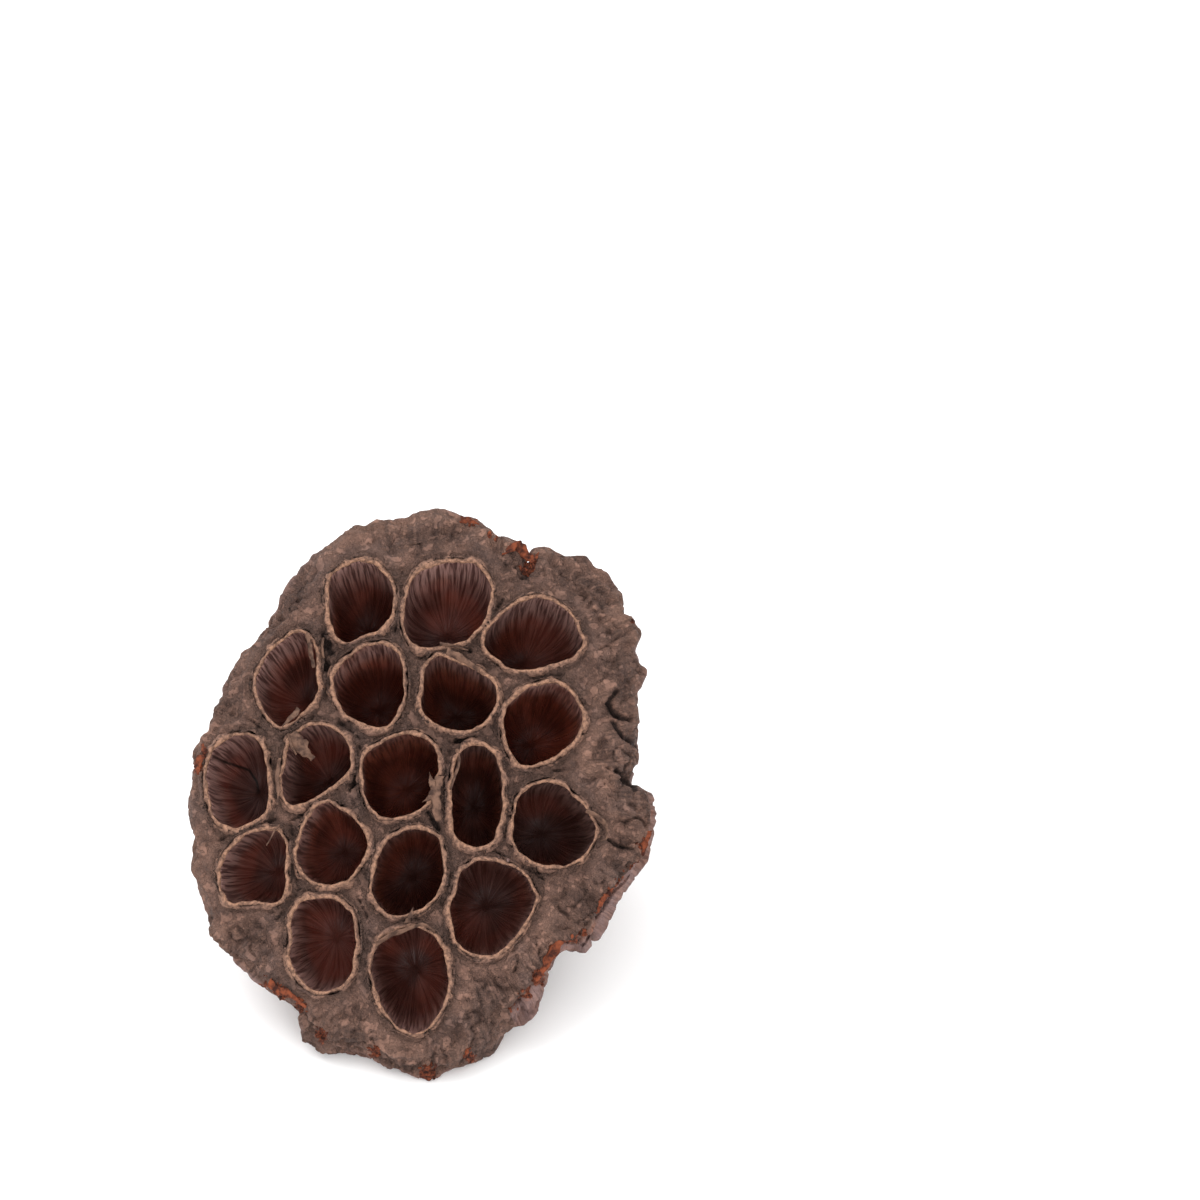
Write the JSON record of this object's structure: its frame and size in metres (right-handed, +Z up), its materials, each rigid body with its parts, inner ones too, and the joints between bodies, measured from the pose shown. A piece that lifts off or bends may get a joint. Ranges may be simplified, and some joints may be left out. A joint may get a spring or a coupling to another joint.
{
  "type": "dried lotus pod",
  "caption": "Dried lotus pod lying on its side: a funnel of brown spongy tissue with a broad lobed face of open seed chambers and a torn stem stub.",
  "frame": {"origin": "on the surface that the pod lies on, under the middle of its bounding box", "axes": "+Z up, -Y to the front, where the face with the chambers looks, 50 degrees above level; +X to the right across the face; the stem stub is at the back (+Y)"},
  "size_m": [0.0804, 0.0782, 0.0646],
  "materials": {
    "pod_skin": "dry, matt, wrinkled grey-brown skin",
    "seed_chambers": "smooth, satin, dark chestnut lining with fine ribs and a dry tan lip",
    "torn_tissue": "dry, rough, orange-brown crumbs and fibres"
  },
  "bodies": {
    "root": {"lotus_pod": "pod_skin"}
  },
  "joints": []
}
